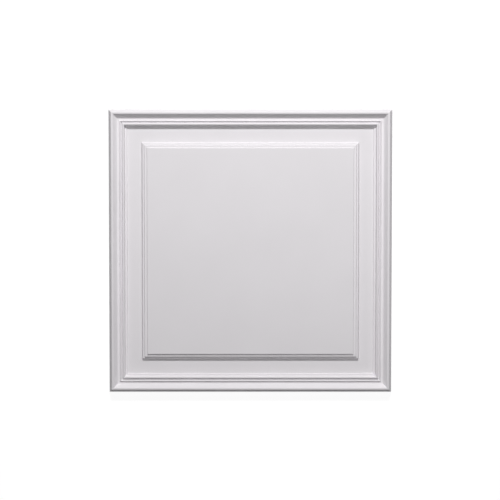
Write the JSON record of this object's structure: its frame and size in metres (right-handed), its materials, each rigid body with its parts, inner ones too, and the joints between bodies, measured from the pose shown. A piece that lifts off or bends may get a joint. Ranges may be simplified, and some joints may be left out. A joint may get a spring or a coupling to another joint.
{
  "type": "decorative wall panel",
  "caption": "Square moulded wall panel with a mitred frame moulding, a sunk channel and a raised flat field, glued by its flat back to a wall or door.",
  "frame": {"origin": "centre of the flat back face", "axes": "+Z out of the moulded face, +Y up the wall, +X to the right as the face is seen"},
  "size_m": [0.55, 0.55, 0.02],
  "materials": {
    "primed_foam": "matte white primer on hard moulded foam"
  },
  "bodies": {
    "root": {"wall_panel": "primed_foam"}
  },
  "joints": []
}
